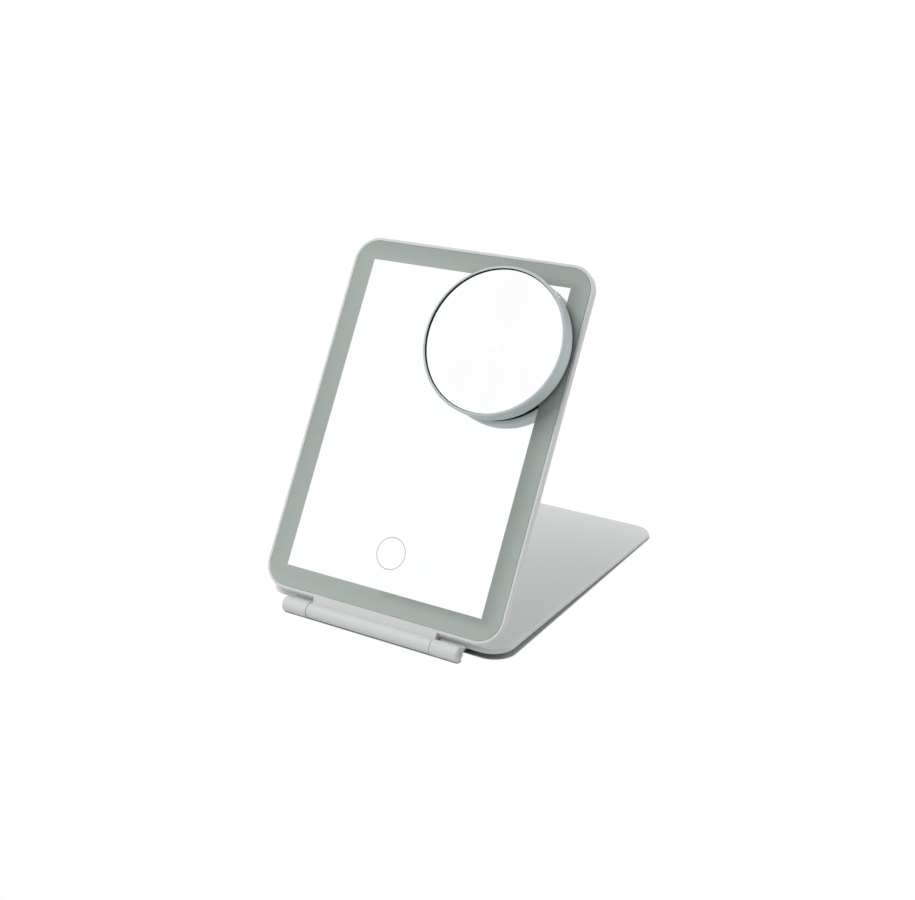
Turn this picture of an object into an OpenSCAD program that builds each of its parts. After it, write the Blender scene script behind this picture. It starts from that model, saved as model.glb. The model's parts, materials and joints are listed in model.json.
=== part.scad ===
// Folding lit travel mirror: a thin mirror panel, the cover that becomes its stand,
// and a round magnifier held on the glass by magnets.
// Millimetres. +Z up, the glass faces -Y, origin on the table under the middle of the opened object.

/* [Panel] */
// width of the panel
panel_w = 160; // [120:1:220]
// height of the panel, along its own slope
panel_h = 219; // [160:1:280]
// radius of the four corners seen from the front
corner_r = 15.5; // [6:0.5:24]
// thickness of the panel from rim to back
panel_t = 6; // [5.5:0.1:9]
// width of the rim seen from the front
rim_w = 1.9; // [1.5:0.1:4]
// lean of the panel in the stored pose, above the table
panel_lean = 60.8; // [58:0.1:90]
// radius of the small roundings on the rim
rim_round = 0.5; // [0.2:0.1:0.8]
// radius of the rounding along the back edge
back_round = 2.55; // [1:0.05:3]
// wall of the rear cover
cover_wall = 1.3; // [1:0.1:2]

/* [Mirror stack] */
// thickness of the glass
glass_t = 1.6; // [1:0.1:3]
// how far the glass lies below the rim
glass_drop = 0.1; // [0:0.05:0.5]
// silvered rectangle: distance from the panel's sides
silver_side = 14.2; // [8:0.1:24]
// silvered rectangle: distance from the panel's top
silver_top = 13.7; // [8:0.1:24]
// silvered rectangle: distance from the panel's lower edge
silver_low = 14.2; // [8:0.1:24]
// thickness of silver with its protective paint
silver_t = 0.2; // [0.1:0.05:0.4]
// thickness of the frosted film under the border
frost_t = 0.25; // [0.2:0.05:0.3]
// outer radius of the touch ring
touch_r = 9.5; // [6:0.1:14]
// width of the touch ring's line
touch_line = 0.5; // [0.3:0.1:1]
// height of the touch ring's centre above the panel's lower edge
touch_up = 36; // [25:1:60]

/* [Hinge] */
// radius of the end knuckles
knuckle_r = 4.5; // [4:0.1:7]
// radius of the middle knuckle, which stays clear of the table
barrel_r = 4.35; // [3.8:0.05:6.8]
// distance from the middle to the inner end of each end knuckle
seam_x = 42; // [30:0.5:55]
// distance from the middle to the outer end of each end knuckle
knuckle_x = 59; // [50:0.5:70]
// gap between the knuckles
seam_gap = 0.4; // [0.2:0.1:0.8]
// hinge axis to the lower edge of the panel
edge_off = 7.9; // [6.5:0.1:10]
// hinge axis to the plane of the rim
front_off = -0.4; // [-1:0.1:0]
// radius of the steel hinge pins
pin_r = 1.5; // [1:0.1:2]

/* [Cover] */
// width of the cover
cover_w = 161; // [121:1:221]
// length of the cover, along its own slope
cover_h = 217.5; // [158.5:0.5:278.5]
// radius of the cover's four corners
cover_corner_r = 14; // [8:0.5:24]
// thickness of the cover
cover_t = 2.6; // [2.4:0.1:4]
// hinge axis to the near edge of the cover
cover_off = 9; // [8.5:0.1:11]
// hinge axis to the cover's lined face
lined_off = -0.2; // [-0.2:0.1:0.5]
// radius of the rounding on the cover's outer edge
cover_round = 1.3; // [0.5:0.1:1.6]
// thickness of the lining
lining_t = 0.4; // [0.2:0.1:0.8]
// how far the rubber pads stand out of the lining
pad_out = 0.2; // [0.1:0.05:0.5]
// radius of the rubber pads
pad_r = 4; // [2:0.5:6]

/* [Magnifier] */
// radius of the magnifier
mag_r = 43.9; // [30:0.1:60]
// height of its lip above the rim of the panel
mag_top = 15.4; // [10:0.1:20]
// distance of its centre from the panel's middle line
mag_x = 34.7; // [0:0.1:60]
// height of its centre above the panel's lower edge
mag_up = 165.1; // [60:0.1:200]
// width of its lip
lip_w = 1.7; // [1.4:0.1:3]
// depth of its glass below the lip
mag_recess = 1.5; // [0.5:0.1:4]
// radius of curvature of its concave glass
mag_curve = 320; // [200:10:900]

/* [Electrics] */
// lights along each long side
leds_long = 22; // [10:1:30]
// lights along each short side
leds_short = 15; // [8:1:22]
// height of the charging socket above the panel's lower edge
port_up = 38; // [25:1:80]

/* [View] */
// piece to draw

/* [Hidden] */
$fn = 64;
fit_gap = 0.05;
lap = 0.1; // how far joined shapes reach into each other and cuts reach out
half_w = panel_w / 2;
// each leaf: width, length, radius of its corners, and the hinge axis to its near edge
panel_leaf = [panel_w, panel_h, corner_r, edge_off];
cover_leaf = [cover_w, cover_h, cover_corner_r, cover_off];
back_z = front_off - panel_t;
edge_round = back_round - fit_gap;
split_z = back_z + back_round;
inner_z = back_z + cover_wall;
glass_z = front_off - glass_drop - glass_t;
tape_t = 0.2;
tape_w = 1.35;
ledge_z = glass_z - tape_t;
ledge_t = 1;
ledge_w = 1.6;
web_t = 3;
silver_w = panel_w - 2 * silver_side;
silver_h = panel_h - silver_low - silver_top;
silver_back = glass_z - silver_t;
cover_top = lined_off + cover_t;
lining_in = 5;
lining_lip = 1.1;
pad_x = 60;
pad_far = cover_off + cover_h - lining_in - 0.2;
pad_near = cover_off + lining_in + 0.2 + pad_r;
pad_z = lined_off - pad_out;
cover_slope = atan(pad_z / pad_far) + asin(knuckle_r / norm([pad_z, pad_far]));
far_round = cover_off + cover_h - cover_round;
cover_reach = far_round * cos(cover_slope) + (cover_top - cover_round) * sin(cover_slope) + cover_round;
hinge_y = -(cover_reach - knuckle_r) / 2;
led_in = 6.6;
led_w = 7.2;
led_board_t = 0.6;
led_size = [3.5, 2.8, 0.7];
led_end = 18;
dam_t = 1;
dam_z = silver_back - 0.35;
port_y = edge_off + port_up;
port_z = back_z + 2.42;
port_size = [8.94, 3.16];
port_depth = 7.3;
port_in = 1.4;
port_wall = 0.3;
plug_hole = [9.6, 3.8];
tongue_size = [6.7, 0.7];
lamp_r = 0.6;
lamp_ends = [0.15, 2.6];
lamp_at = [port_y + 9.5, back_z + 3.25];
board_size = [38, 23, 0.8];
board_x = -half_w + port_in + port_depth + 0.1;
board_z = port_z - board_size[2] / 2;
board_low = port_y - board_size[1] / 2;
board_screw_at = [[8, 4], [28.5, 19.5]];
board_screw_r = 0.48;
board_head = [1.3, 0.6];
// chips and connectors on the board: place, then width, length and height
chips = [[14, 6, 5, 5, 0.8], [22, 5, 3, 3, 0.7], [14, 15, 4, 4, 1], [23, 13, 3, 4, 0.8],
    [32, 4, 3, 6, 1.1], [4, 16, 2, 4, 0.7]];
screw_up = [30, 109.5, 189];
screw_in = 4.1;
screw_r = 0.68;
screw_head_r = 1.4;
screw_len = 3;
screw_head_t = 0.65;
cross_size = [1.5, 0.35, 0.7];
boss_w = 4.6;
post_r = 1.9;
cell_size = [60, 98, 2.4];
cell_at = [-50, edge_off + 70];
cell_seal = 3;
cell_stop = [1, 16, 1.6];
// foam blocks behind the mirror: place, then width and height
foam_blocks = [[26, 30, 24, 95], [-50, 182, 60, 12], [-20, 44, 24, 18]];
sense_r = 8;
sense_t = 0.28;
supply_wire_r = 0.45;
signal_wire_r = 0.4;
disc_r = 21;
disc_t = 0.5;
clip_len = 17;
clip_r = 2.4;
clip_slot = 0.8;
pin_in = 22;
cap_r = 1.9;
cap_t = 1.05;
knuckle_round = 0.8;
arm_top = 1.4;
arm_low = -0.8;
web_round = 0.9;
mag_y = edge_off + mag_up;
mag_base = 1;
mag_wall = 1.6;
mag_round = 4.5;
mag_taper = 0.2;
mag_glass_t = 2;
mag_tape_t = 0.26;
lip_round = 1.1;
mag_gap = 0.3;
pad_disc_r = 36;
magnet_r = 5;
magnet_t = 2;
magnet_at = 14;
magnet_floor = 0.9;
hub_half = 7.2;
cup_rib_t = 1;
cup_step = [6.5, 3.2];
mag_seat = mag_top - mag_recess - mag_glass_t;

plastic = [0.83, 0.85, 0.84];
steel = [0.72, 0.73, 0.74];
green_board = [0.14, 0.35, 0.24];
white = [0.95, 0.95, 0.94];

// Places: on the leaning panel, on the cover, and on the magnifier's axis.
module on_panel() translate([0, hinge_y, knuckle_r]) rotate([panel_lean, 0, 0]) children();
module on_cover() translate([0, hinge_y, knuckle_r]) rotate([-cover_slope, 0, 0]) children();
module on_magnifier() on_panel() translate([mag_x, mag_y, front_off]) children();
// Outline drawn in the side view (along the leaf, out of the leaf), pushed along X.
module along_x(x0, x1) translate([x0, 0, 0]) rotate([90, 0, 90]) linear_extrude(x1 - x0) children();

// A piece at the right end of the hinge and its mirror image at the left end.
module both_ends() for (s = [0, 1]) mirror([s, 0, 0]) children();

// Rectangle with exact round corners, lower edge on y = 0.
module round_rect(w, h, r) {
    translate([-w / 2 + r, 0]) square([w - 2 * r, h]);
    translate([-w / 2, r]) square([w, h - 2 * r]);
    for (x = [-1, 1], y = [r, h - r]) translate([x * (w / 2 - r), y]) circle(r);
}

// Edge profile carried round a rectangle with round corners.
// In the profile x is the distance from the corner's centre.
module carry_round(w, h, r) {
    for (s = [[0, 1, 1, h], [90, -1, 1, w], [180, -1, -1, h], [270, 1, -1, w]])
        translate([s[1] * (w / 2 - r), h / 2 + s[2] * (h / 2 - r), 0]) rotate([0, 0, s[0]]) {
            rotate_extrude(angle = 90) children();
            rotate([90, 0, 0]) linear_extrude(s[3] - 2 * r) children();
        }
}

// Edge profile carried round a leaf.
module leaf_edge(leaf) translate([0, leaf[3], 0]) carry_round(leaf[0], leaf[1], leaf[2]) children();

// Flat plate on a leaf's outline, set in from its edge.
module leaf_plate(leaf, inset, z0, z1)
    translate([0, leaf[3] + inset, z0]) linear_extrude(z1 - z0)
        round_rect(leaf[0] - 2 * inset, leaf[1] - 2 * inset, leaf[2] - inset);

// Frame of constant width on a leaf's outline.
module leaf_ring(leaf, inset, width, z0, z1)
    leaf_edge(leaf) translate([leaf[2] - inset - width, z0]) square([width, z1 - z0]);

module stadium(w, h) {
    square([w - h, h], center = true);
    for (x = [-1, 1]) translate([x * (w - h) / 2, 0]) circle(h / 2);
}

module screw_places() for (x = [-1, 1], u = screw_up)
    translate([x * (half_w - screw_in), edge_off + u, 0]) children();

module board_screw_places() for (p = board_screw_at)
    translate([board_x + p[0], board_low + p[1], 0]) children();

// Round wire through a list of points.
module wire(points, r) {
    for (i = [0:len(points) - 2]) {
        d = points[i + 1] - points[i];
        translate(points[i]) rotate([0, acos(d[2] / norm(d)), atan2(d[1], d[0])])
            cylinder(h = norm(d), r = r, $fn = 16);
    }
    for (p = points) translate(p) rotate([25, 35, 0]) sphere(r + 0.04, $fn = 16);
}

module rim_profile() {
    translate([corner_r - rim_w, split_z]) square([rim_w, front_off - rim_round - split_z]);
    translate([corner_r - rim_w + rim_round, split_z])
        square([rim_w - 2 * rim_round, front_off - split_z]);
    for (x = [rim_round, rim_w - rim_round])
        translate([corner_r - x, front_off - rim_round]) circle(rim_round, $fn = 32);
    translate([corner_r - rim_w - ledge_w, ledge_z - ledge_t]) square([ledge_w + lap, ledge_t]);
}

// Hole for the plug and for the light beside it, through the left wall.
module port_cuts() {
    along_x(-half_w - 1, -half_w + port_in + lap) translate([port_y, port_z])
        stadium(plug_hole[0], plug_hole[1]);
    along_x(-half_w + port_in, -half_w + 6) translate([port_y, port_z])
        square([port_size[0] + 0.4, port_size[1] + 0.3], center = true);
    along_x(-half_w - 1, -half_w + 5) translate(lamp_at) circle(lamp_r + fit_gap, $fn = 24);
}

// Small hollow rounding where the end of the hinge web meets the rim.
module web_corner() translate([seam_x - seam_gap, edge_off, front_off - web_t]) linear_extrude(web_t)
    difference() {
        translate([-lap, -web_round]) square([web_round + lap, web_round + lap]);
        translate([web_round, -web_round]) circle(web_round, $fn = 32);
    }

module panel_frame() color(plastic) on_panel() difference() {
    union() {
        leaf_edge(panel_leaf) rim_profile();
        screw_places() translate([-boss_w / 2, -boss_w / 2, split_z])
            cube([boss_w, boss_w, glass_z - frost_t - fit_gap - split_z]);
        along_x(-seam_x + seam_gap, seam_x - seam_gap) {
            circle(barrel_r, $fn = 96);
            translate([0, front_off - web_t]) square([edge_off + rim_round + lap, web_t]);
        }
        both_ends() web_corner();
    }
    both_ends() along_x(pin_in - 1, seam_x) circle(clip_r + 0.02);
    screw_places() translate([0, 0, split_z - lap])
        cylinder(h = back_z + screw_len + 0.7 - split_z, r = screw_r + 0.02, $fn = 24);
    port_cuts();
}

module shell_edge_profile() difference() {
    union() {
        translate([corner_r - edge_round - 1, back_z]) square([1, edge_round]);
        intersection() {
            translate([corner_r - edge_round, back_z + edge_round]) circle(edge_round);
            translate([corner_r - edge_round, back_z]) square(edge_round);
        }
    }
    translate([0, inner_z]) square([corner_r - rim_w, panel_t]);
}

// Wall that keeps the light under the border, open where the control board passes.
module dam_ring() difference() {
    leaf_plate(panel_leaf, silver_side - 0.2, inner_z - lap, dam_z);
    translate([board_x - 4, board_low - 1, inner_z])
        cube([board_size[0], board_size[1] + 2, panel_t]);
    translate([0, edge_off + silver_side + dam_t, inner_z - 1]) linear_extrude(panel_t)
        round_rect(panel_w - 2 * (silver_side + dam_t), panel_h - 2 * (silver_side + dam_t), 1);
}

module rear_cover() color(plastic) on_panel() difference() {
    union() {
        leaf_plate(panel_leaf, edge_round, back_z, inner_z);
        leaf_edge(panel_leaf) shell_edge_profile();
        dam_ring();
        screw_places() translate([0, 0, inner_z - lap])
            cylinder(h = split_z - inner_z + lap - fit_gap, r = post_r, $fn = 32);
        board_screw_places() translate([0, 0, inner_z - lap])
            cylinder(h = board_z - inner_z + lap - fit_gap, r = post_r, $fn = 32);
        for (x = [-1, 1], y = [0, 1])
            translate([cell_at[0] + cell_size[0] / 2 + x * (cell_size[0] / 2 + 1.2),
                cell_at[1] + 10 + y * (cell_size[1] - 20), inner_z + 0.7])
                cube(cell_stop, center = true);
    }
    screw_places() {
        translate([0, 0, back_z - lap]) cylinder(h = panel_t, r = screw_r + 0.17, $fn = 24);
        translate([0, 0, back_z - 0.01])
            cylinder(h = 0.8, r1 = screw_head_r + 0.15, r2 = screw_r + 0.17, $fn = 32);
    }
    board_screw_places() translate([0, 0, inner_z])
        cylinder(h = 3, r = board_screw_r + 0.02, $fn = 24);
    translate([-half_w + port_in + lap, port_y - 5, back_z + 0.75])
        cube([port_depth + 1.7, 10, panel_t]);
    port_cuts();
}

module mirror_glass() color([0.8, 0.88, 0.86, 0.35]) on_panel()
    leaf_plate(panel_leaf, rim_w + lap, glass_z, glass_z + glass_t);

module silver_layer() color([0.93, 0.95, 0.95]) on_panel() difference() {
    translate([-silver_w / 2, edge_off + silver_low, silver_back]) cube([silver_w, silver_h, silver_t]);
    translate([0, edge_off + touch_up, silver_back - lap]) linear_extrude(1) difference() {
        circle(touch_r);
        circle(touch_r - touch_line);
    }
}

module touch_ring() color([0.7, 0.72, 0.72]) on_panel()
    translate([0, edge_off + touch_up, silver_back]) linear_extrude(silver_t) difference() {
        circle(touch_r - 0.01);
        circle(touch_r - touch_line + 0.01);
    }

module frosted_sheet() color([0.68, 0.73, 0.69]) on_panel() difference() {
    leaf_plate(panel_leaf, rim_w + ledge_w + lap, glass_z - frost_t, glass_z);
    translate([-silver_w / 2 - fit_gap, edge_off + silver_low - fit_gap, glass_z - 1])
        cube([silver_w + 2 * fit_gap, silver_h + 2 * fit_gap, 2]);
}

module glass_tape() color([0.85, 0.86, 0.85]) on_panel()
    leaf_ring(panel_leaf, rim_w + lap, tape_w, ledge_z, glass_z);

module touch_pad() color([0.75, 0.5, 0.3]) on_panel()
    translate([0, edge_off + touch_up, silver_back - sense_t - 0.02]) cylinder(h = sense_t, r = sense_r);

module led_board() color(white) on_panel() difference() {
    leaf_ring(panel_leaf, led_in, led_w, inner_z + fit_gap, inner_z + led_board_t);
    translate([-half_w, board_low - 1, -panel_t]) cube([20, board_size[1] + 2, 2 * panel_t]);
}

module led(z) translate([0, 0, z + led_size[2] / 2]) cube(led_size, center = true);

module leds() color([0.97, 0.93, 0.7]) on_panel() {
    z = inner_z + led_board_t;
    side = led_in + led_w / 2;
    pitch_y = (panel_h - 2 * led_end) / (leds_long - 1);
    pitch_x = (panel_w - 2 * led_end) / (leds_short - 1);
    for (s = [-1, 1], i = [0:leds_long - 1]) {
        up = led_end + i * pitch_y;
        if (s > 0 || abs(up - port_up) > board_size[1] / 2 + 6)
            translate([s * (half_w - side), edge_off + up, 0]) rotate([0, 0, 90]) led(z);
    }
    for (y = [side, panel_h - side], i = [0:leds_short - 1])
        translate([-half_w + led_end + i * pitch_x, edge_off + y, 0]) led(z);
}

module control_board() color(green_board) on_panel() difference() {
    translate([board_x, board_low, board_z]) cube(board_size);
    board_screw_places() translate([0, 0, board_z - 1]) cylinder(h = 3, r = 0.75, $fn = 24);
}

module board_parts() color([0.15, 0.15, 0.16]) on_panel() for (c = chips)
    translate([board_x + c[0], board_low + c[1], board_z + board_size[2]]) cube([c[2], c[3], c[4]]);

module usb_shell() color(steel) on_panel() difference() {
    along_x(-half_w + port_in, -half_w + port_in + port_depth)
        translate([port_y, port_z]) stadium(port_size[0], port_size[1]);
    along_x(-half_w, -half_w + port_in + port_depth - 1)
        translate([port_y, port_z])
            stadium(port_size[0] - 2 * port_wall, port_size[1] - 2 * port_wall);
}

module usb_tongue() color([0.12, 0.12, 0.13]) on_panel()
    along_x(-half_w + port_in + 0.8, -half_w + port_in + port_depth - 1)
        translate([port_y, port_z]) square(tongue_size, center = true);

module charge_light() color([0.9, 0.95, 0.95]) on_panel()
    along_x(-half_w + lamp_ends[0], -half_w + lamp_ends[1]) translate(lamp_at) circle(lamp_r, $fn = 24);

module battery() color([0.75, 0.76, 0.78]) on_panel()
    translate([cell_at[0], cell_at[1], inner_z + fit_gap]) {
        translate([0, cell_seal, 0]) cube([cell_size[0], cell_size[1] - cell_seal, cell_size[2]]);
        translate([3, 0, 0.6]) cube([cell_size[0] - 6, cell_seal - lap, 1.2]);
    }

module battery_leads() color([0.75, 0.12, 0.1]) on_panel() {
    z = board_z + board_size[2] + 0.55;
    top = port_y + board_size[1] / 2;
    for (i = [0, 1])
        wire([[board_x + 32.8 + 1.4 * i, top - 12.4, z], [board_x + 32.5 + 1.6 * i, top + 2, z - 0.1],
            [-41 + 2 * i, cell_at[1] - 0.6, z - 0.4]], supply_wire_r);
}

module signal_leads() color([0.2, 0.22, 0.24]) on_panel() {
    z = board_z + board_size[2] + 0.5;
    sense_z = back_z + 3.35;
    strip_z = back_z + 2.6;
    wire([[board_x + board_size[0] + 0.6, board_low + 6, z - 0.6], [-20, board_low + 4, z - 0.5],
        [-9, edge_off + touch_up, sense_z], [-2, edge_off + touch_up, sense_z]],
        signal_wire_r);
    wire([[board_x + 2, board_low + board_size[1] + 0.6, strip_z],
        [-half_w + 11, port_y + 15, strip_z - 0.1]], signal_wire_r);
}

module support_foam() color([0.3, 0.31, 0.32]) on_panel() for (p = foam_blocks)
    translate([p[0], edge_off + p[1], inner_z + fit_gap])
        cube([p[2], p[3], silver_back - inner_z - 2 * fit_gap]);

module steel_disc() color(steel) on_panel()
    translate([mag_x, mag_y, silver_back - disc_t - fit_gap]) cylinder(h = disc_t, r = disc_r);

module rear_screws() color(steel) on_panel() screw_places() difference() {
    union() {
        translate([0, 0, back_z + fit_gap])
            cylinder(h = screw_head_t, r1 = screw_head_r, r2 = screw_r + 0.07, $fn = 32);
        translate([0, 0, back_z + 0.5]) cylinder(h = screw_len, r = screw_r, $fn = 24);
    }
    for (a = [0, 90]) translate([0, 0, back_z]) rotate([0, 0, a])
        cube(cross_size, center = true);
}

module board_screws() color(steel) on_panel() board_screw_places() {
    translate([0, 0, board_z + board_size[2] + 0.02])
        cylinder(h = board_head[1], r = board_head[0], $fn = 24);
    translate([0, 0, inner_z + lap])
        cylinder(h = board_z - inner_z + 1, r = board_screw_r, $fn = 20);
}

module friction_clips() color(steel) on_panel() both_ends()
    along_x(pin_in, pin_in + clip_len) difference() {
        circle(clip_r);
        circle(pin_r + fit_gap);
        translate([-clip_slot / 2, 0]) square([clip_slot, clip_r + 1]);
    }

module knuckle() translate([seam_x, 0, 0]) rotate([0, 90, 0]) rotate_extrude($fn = 96) {
    len = knuckle_x - seam_x;
    square([knuckle_r, len - knuckle_round]);
    square([knuckle_r - knuckle_round, len]);
    translate([knuckle_r - knuckle_round, len - knuckle_round]) circle(knuckle_round, $fn = 32);
}

module cover_profile() {
    x0 = cover_corner_r - 4;
    translate([x0, lined_off + rim_round]) square([4, cover_t - cover_round - rim_round]);
    translate([x0, lined_off]) square([4 - rim_round, cover_t - cover_round]);
    translate([x0, lined_off]) square([4 - cover_round, cover_t]);
    translate([cover_corner_r - cover_round, cover_top - cover_round]) circle(cover_round, $fn = 48);
    translate([cover_corner_r - rim_round, lined_off + rim_round]) circle(rim_round, $fn = 32);
}

// Arm that carries a knuckle: thicker near the pin, and clear of the panel's rim when shut.
module arm_profile() polygon([[0, arm_low], [edge_off - 2, arm_low], [edge_off - 1.2, lined_off + lap],
    [cover_off + 2, lined_off + lap], [cover_off + 2, arm_top], [0, arm_top]]);

module stand_cover() color(plastic) on_cover() difference() {
    union() {
        leaf_edge(cover_leaf) cover_profile();
        leaf_plate(cover_leaf, lining_in - lining_lip, lined_off + lining_t, cover_top);
        leaf_ring(cover_leaf, lining_in - lining_lip, lining_lip - lap, lined_off, lined_off + 1);
        both_ends() {
            knuckle();
            along_x(seam_x, knuckle_x - knuckle_round) arm_profile();
        }
    }
    both_ends() {
        along_x(seam_x - 1, knuckle_x - 1) circle(pin_r + 0.02);
        along_x(knuckle_x - cap_t - 2 * lap, knuckle_x + 1) circle(cap_r + 0.02, $fn = 48);
    }
}

module pad_places() for (x = [-pad_x, pad_x], y = [pad_near, pad_far - pad_r])
    translate([x, y, 0]) children();

module stand_lining() color([0.55, 0.58, 0.56]) on_cover() difference() {
    leaf_plate(cover_leaf, lining_in, lined_off, lined_off + lining_t - 0.02);
    pad_places() translate([0, 0, lined_off - 1]) cylinder(h = 3, r = pad_r + 0.3);
}

module stand_pads() color([0.25, 0.26, 0.26]) on_cover() pad_places()
    translate([0, 0, pad_z]) cylinder(h = pad_out + lining_t - 0.02, r = pad_r);

module hinge_pins() color(steel) on_cover() both_ends()
    along_x(pin_in + 1, knuckle_x - cap_t - 0.25) circle(pin_r);

module pin_caps() color([0.6, 0.62, 0.62]) on_cover() both_ends()
    along_x(knuckle_x - cap_t - lap, knuckle_x - lap) circle(cap_r, $fn = 48);

module cup_outline() {
    foot = mag_r - mag_taper;
    translate([0, mag_base]) square([foot - mag_round, mag_round]);
    translate([foot - mag_round, mag_base + mag_round]) circle(mag_round, $fn = 64);
    polygon([[0, mag_base + mag_round], [foot, mag_base + mag_round],
        [mag_r, mag_top - lip_round], [0, mag_top - lip_round]]);
    translate([0, mag_top - lip_round]) square([mag_r - lip_round, lip_round]);
    translate([mag_r - lip_round, mag_top - lip_round]) circle(lip_round, $fn = 48);
}

module magnifier_cup() color(plastic) on_magnifier() difference() {
    union() {
        rotate_extrude($fn = 128) difference() {
            cup_outline();
            translate([0, mag_seat - mag_tape_t - 0.19]) square([mag_r - lip_w, mag_top]);
            translate([0, mag_base + mag_wall]) square([mag_r - cup_step[0], mag_top]);
            translate([0, mag_base + mag_wall + 3]) square([mag_r - cup_step[1], mag_top]);
        }
        for (a = [0:60:300]) rotate([0, 0, a])
            translate([magnet_at + hub_half - 0.2, -cup_rib_t / 2, mag_base + 1])
                cube([mag_r - 6 - magnet_at - hub_half, cup_rib_t, 3]);
        translate([0, 0, mag_base + 1]) difference() {
            cylinder(h = magnet_t + 0.6, r = magnet_at + hub_half);
            translate([0, 0, 0.5]) cylinder(h = 4, r = magnet_at - hub_half);
        }
    }
    for (a = [45:90:315]) rotate([0, 0, a]) translate([magnet_at, 0, mag_base + magnet_floor])
        cylinder(h = 5, r = magnet_r + 0.05);
}

// Concave glass: a shell between two spheres cut round.
module magnifier_glass() color([0.9, 0.93, 0.93]) on_magnifier() {
    edge = mag_r - lip_w - mag_gap;
    rise = sqrt(mag_curve * mag_curve - edge * edge);
    intersection() {
        translate([0, 0, mag_seat - 5]) cylinder(h = 5 + mag_glass_t, r = edge, $fn = 128);
        difference() {
            translate([0, 0, mag_seat + mag_glass_t + rise]) sphere(mag_curve + mag_glass_t, $fn = 200);
            translate([0, 0, mag_seat + mag_glass_t + rise]) sphere(mag_curve, $fn = 200);
        }
    }
}

module magnifier_tape() color([0.2, 0.2, 0.2]) on_magnifier()
    translate([0, 0, mag_seat - mag_tape_t - 0.18]) linear_extrude(mag_tape_t) difference() {
        circle(mag_r - lip_w - mag_gap, $fn = 128);
        circle(mag_r - lip_w - tape_w, $fn = 128);
    }

module magnifier_magnets() color(steel) on_magnifier() for (a = [45:90:315])
    rotate([0, 0, a]) translate([magnet_at, 0, mag_base + magnet_floor + 0.02])
        cylinder(h = magnet_t, r = magnet_r);

module magnifier_pad() color([0.3, 0.31, 0.31]) on_magnifier()
    translate([0, 0, -glass_drop]) cylinder(h = mag_base + glass_drop - 0.01, r = pad_disc_r, $fn = 96);

panel_frame();
rear_cover();
mirror_glass();
silver_layer();
frosted_sheet();
glass_tape();
touch_ring();
touch_pad();
led_board();
leds();
control_board();
board_parts();
usb_shell();
usb_tongue();
charge_light();
battery();
battery_leads();
signal_leads();
support_foam();
steel_disc();
rear_screws();
board_screws();
friction_clips();
stand_cover();
stand_lining();
stand_pads();
hinge_pins();
pin_caps();
magnifier_cup();
magnifier_glass();
magnifier_tape();
magnifier_magnets();
magnifier_pad();
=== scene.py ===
"""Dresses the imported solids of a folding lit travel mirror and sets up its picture.

The thin mirror panel leans on its hinge, the cover lies behind it on the table as the stand, and
a round magnifier sits on the glass. Lengths are in metres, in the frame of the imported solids.
"""

import json
import logging
import math
from collections.abc import Callable, Sequence
from dataclasses import dataclass, field
from enum import Enum

import bmesh
import bpy
from mathutils import Matrix, Vector


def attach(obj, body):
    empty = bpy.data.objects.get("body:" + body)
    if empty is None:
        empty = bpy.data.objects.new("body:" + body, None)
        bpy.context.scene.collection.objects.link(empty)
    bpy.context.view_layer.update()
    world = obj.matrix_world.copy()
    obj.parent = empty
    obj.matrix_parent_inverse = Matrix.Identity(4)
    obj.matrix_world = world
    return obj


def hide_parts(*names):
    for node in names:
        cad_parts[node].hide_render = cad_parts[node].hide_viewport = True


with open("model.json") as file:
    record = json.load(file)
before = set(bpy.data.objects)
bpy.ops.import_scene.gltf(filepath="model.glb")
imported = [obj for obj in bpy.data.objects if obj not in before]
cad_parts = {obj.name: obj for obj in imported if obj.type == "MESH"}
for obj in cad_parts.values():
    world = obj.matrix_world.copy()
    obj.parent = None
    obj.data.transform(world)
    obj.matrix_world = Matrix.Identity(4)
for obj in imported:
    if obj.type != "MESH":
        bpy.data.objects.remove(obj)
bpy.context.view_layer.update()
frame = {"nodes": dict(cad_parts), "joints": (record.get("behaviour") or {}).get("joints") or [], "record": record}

log = logging.getLogger("travel_mirror")

MM = 0.001
Colour = tuple[float, float, float]
Point = tuple[float, float, float]
Socket = bpy.types.NodeSocket

WHITE: Colour = (1.0, 1.0, 1.0)
JOINTS = {joint["name"]: joint for joint in frame["joints"]}
MOUNTS = {mount["name"]: mount for mount in frame["record"]["mounts"]}


def shaded(colour: Colour, factor: float) -> Colour:
    """Gives a colour made darker or lighter by a factor."""
    return tuple(c * factor for c in colour)


# ---------------------------------------------------------------- sizes shared with the solids


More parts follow.
